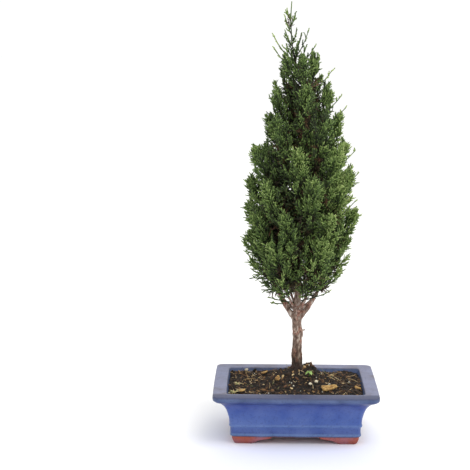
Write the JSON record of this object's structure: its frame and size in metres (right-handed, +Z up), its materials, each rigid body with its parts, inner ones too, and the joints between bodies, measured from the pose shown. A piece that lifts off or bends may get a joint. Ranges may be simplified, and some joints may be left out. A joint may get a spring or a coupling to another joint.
{
  "type": "potted conifer bonsai",
  "caption": "Young conical conifer bonsai with scale-leaved sprays, in a rectangular blue-glazed pot on low unglazed feet, with heaped soil.",
  "frame": {"origin": "on the surface that the pot's feet stand on, under the middle of the pot", "axes": "+Z up; X along the pot's long side; -Y towards the viewer of the tree's front"},
  "size_m": [0.2, 0.15, 0.5268],
  "materials": {
    "blue_glaze": "satin",
    "screen_plastic": "matte",
    "clip_wire": "satin",
    "soil_mix": "matte",
    "bark_flake": "matte",
    "perlite": "matte",
    "seedling_leaf": "matte",
    "bark": "matte",
    "foliage": "matte"
  },
  "bodies": {
    "root": {"bark_chip_large": "bark_flake", "bark_chip_left": "bark_flake", "bark_chip_middle": "bark_flake", "bark_chip_rear": "bark_flake", "bark_chip_right": "bark_flake", "drain_screen_left": "screen_plastic", "drain_screen_right": "screen_plastic", "perlite_middle": "perlite", "perlite_rear": "perlite", "perlite_right": "perlite", "pot": "blue_glaze", "screen_clip_left": "clip_wire", "screen_clip_right": "clip_wire", "seedling": "seedling_leaf", "soil": "soil_mix", "spray_chest_1": "foliage", "spray_chest_2": "foliage", "spray_chest_3": "foliage", "spray_chest_4": "foliage", "spray_chest_5": "foliage", "spray_chest_6": "foliage", "spray_crest_1": "foliage", "spray_crest_2": "foliage", "spray_crest_3": "foliage", "spray_leader": "foliage", "spray_low_1": "foliage", "spray_low_2": "foliage", "spray_low_3": "foliage", "spray_low_4": "foliage", "spray_low_5": "foliage", "spray_low_6": "foliage", "spray_neck_1": "foliage", "spray_neck_2": "foliage", "spray_neck_3": "foliage", "spray_neck_4": "foliage", "spray_shoulder_1": "foliage", "spray_shoulder_2": "foliage", "spray_shoulder_3": "foliage", "spray_shoulder_4": "foliage", "spray_shoulder_5": "foliage", "spray_skirt_1": "foliage", "spray_skirt_2": "foliage", "spray_skirt_3": "foliage", "spray_skirt_4": "foliage", "spray_skirt_5": "foliage", "spray_skirt_6": "foliage", "spray_skirt_7": "foliage", "spray_waist_1": "foliage", "spray_waist_2": "foliage", "spray_waist_3": "foliage", "spray_waist_4": "foliage", "spray_waist_5": "foliage", "spray_waist_6": "foliage", "spray_waist_7": "foliage", "trunk": "bark"}
  },
  "joints": []
}
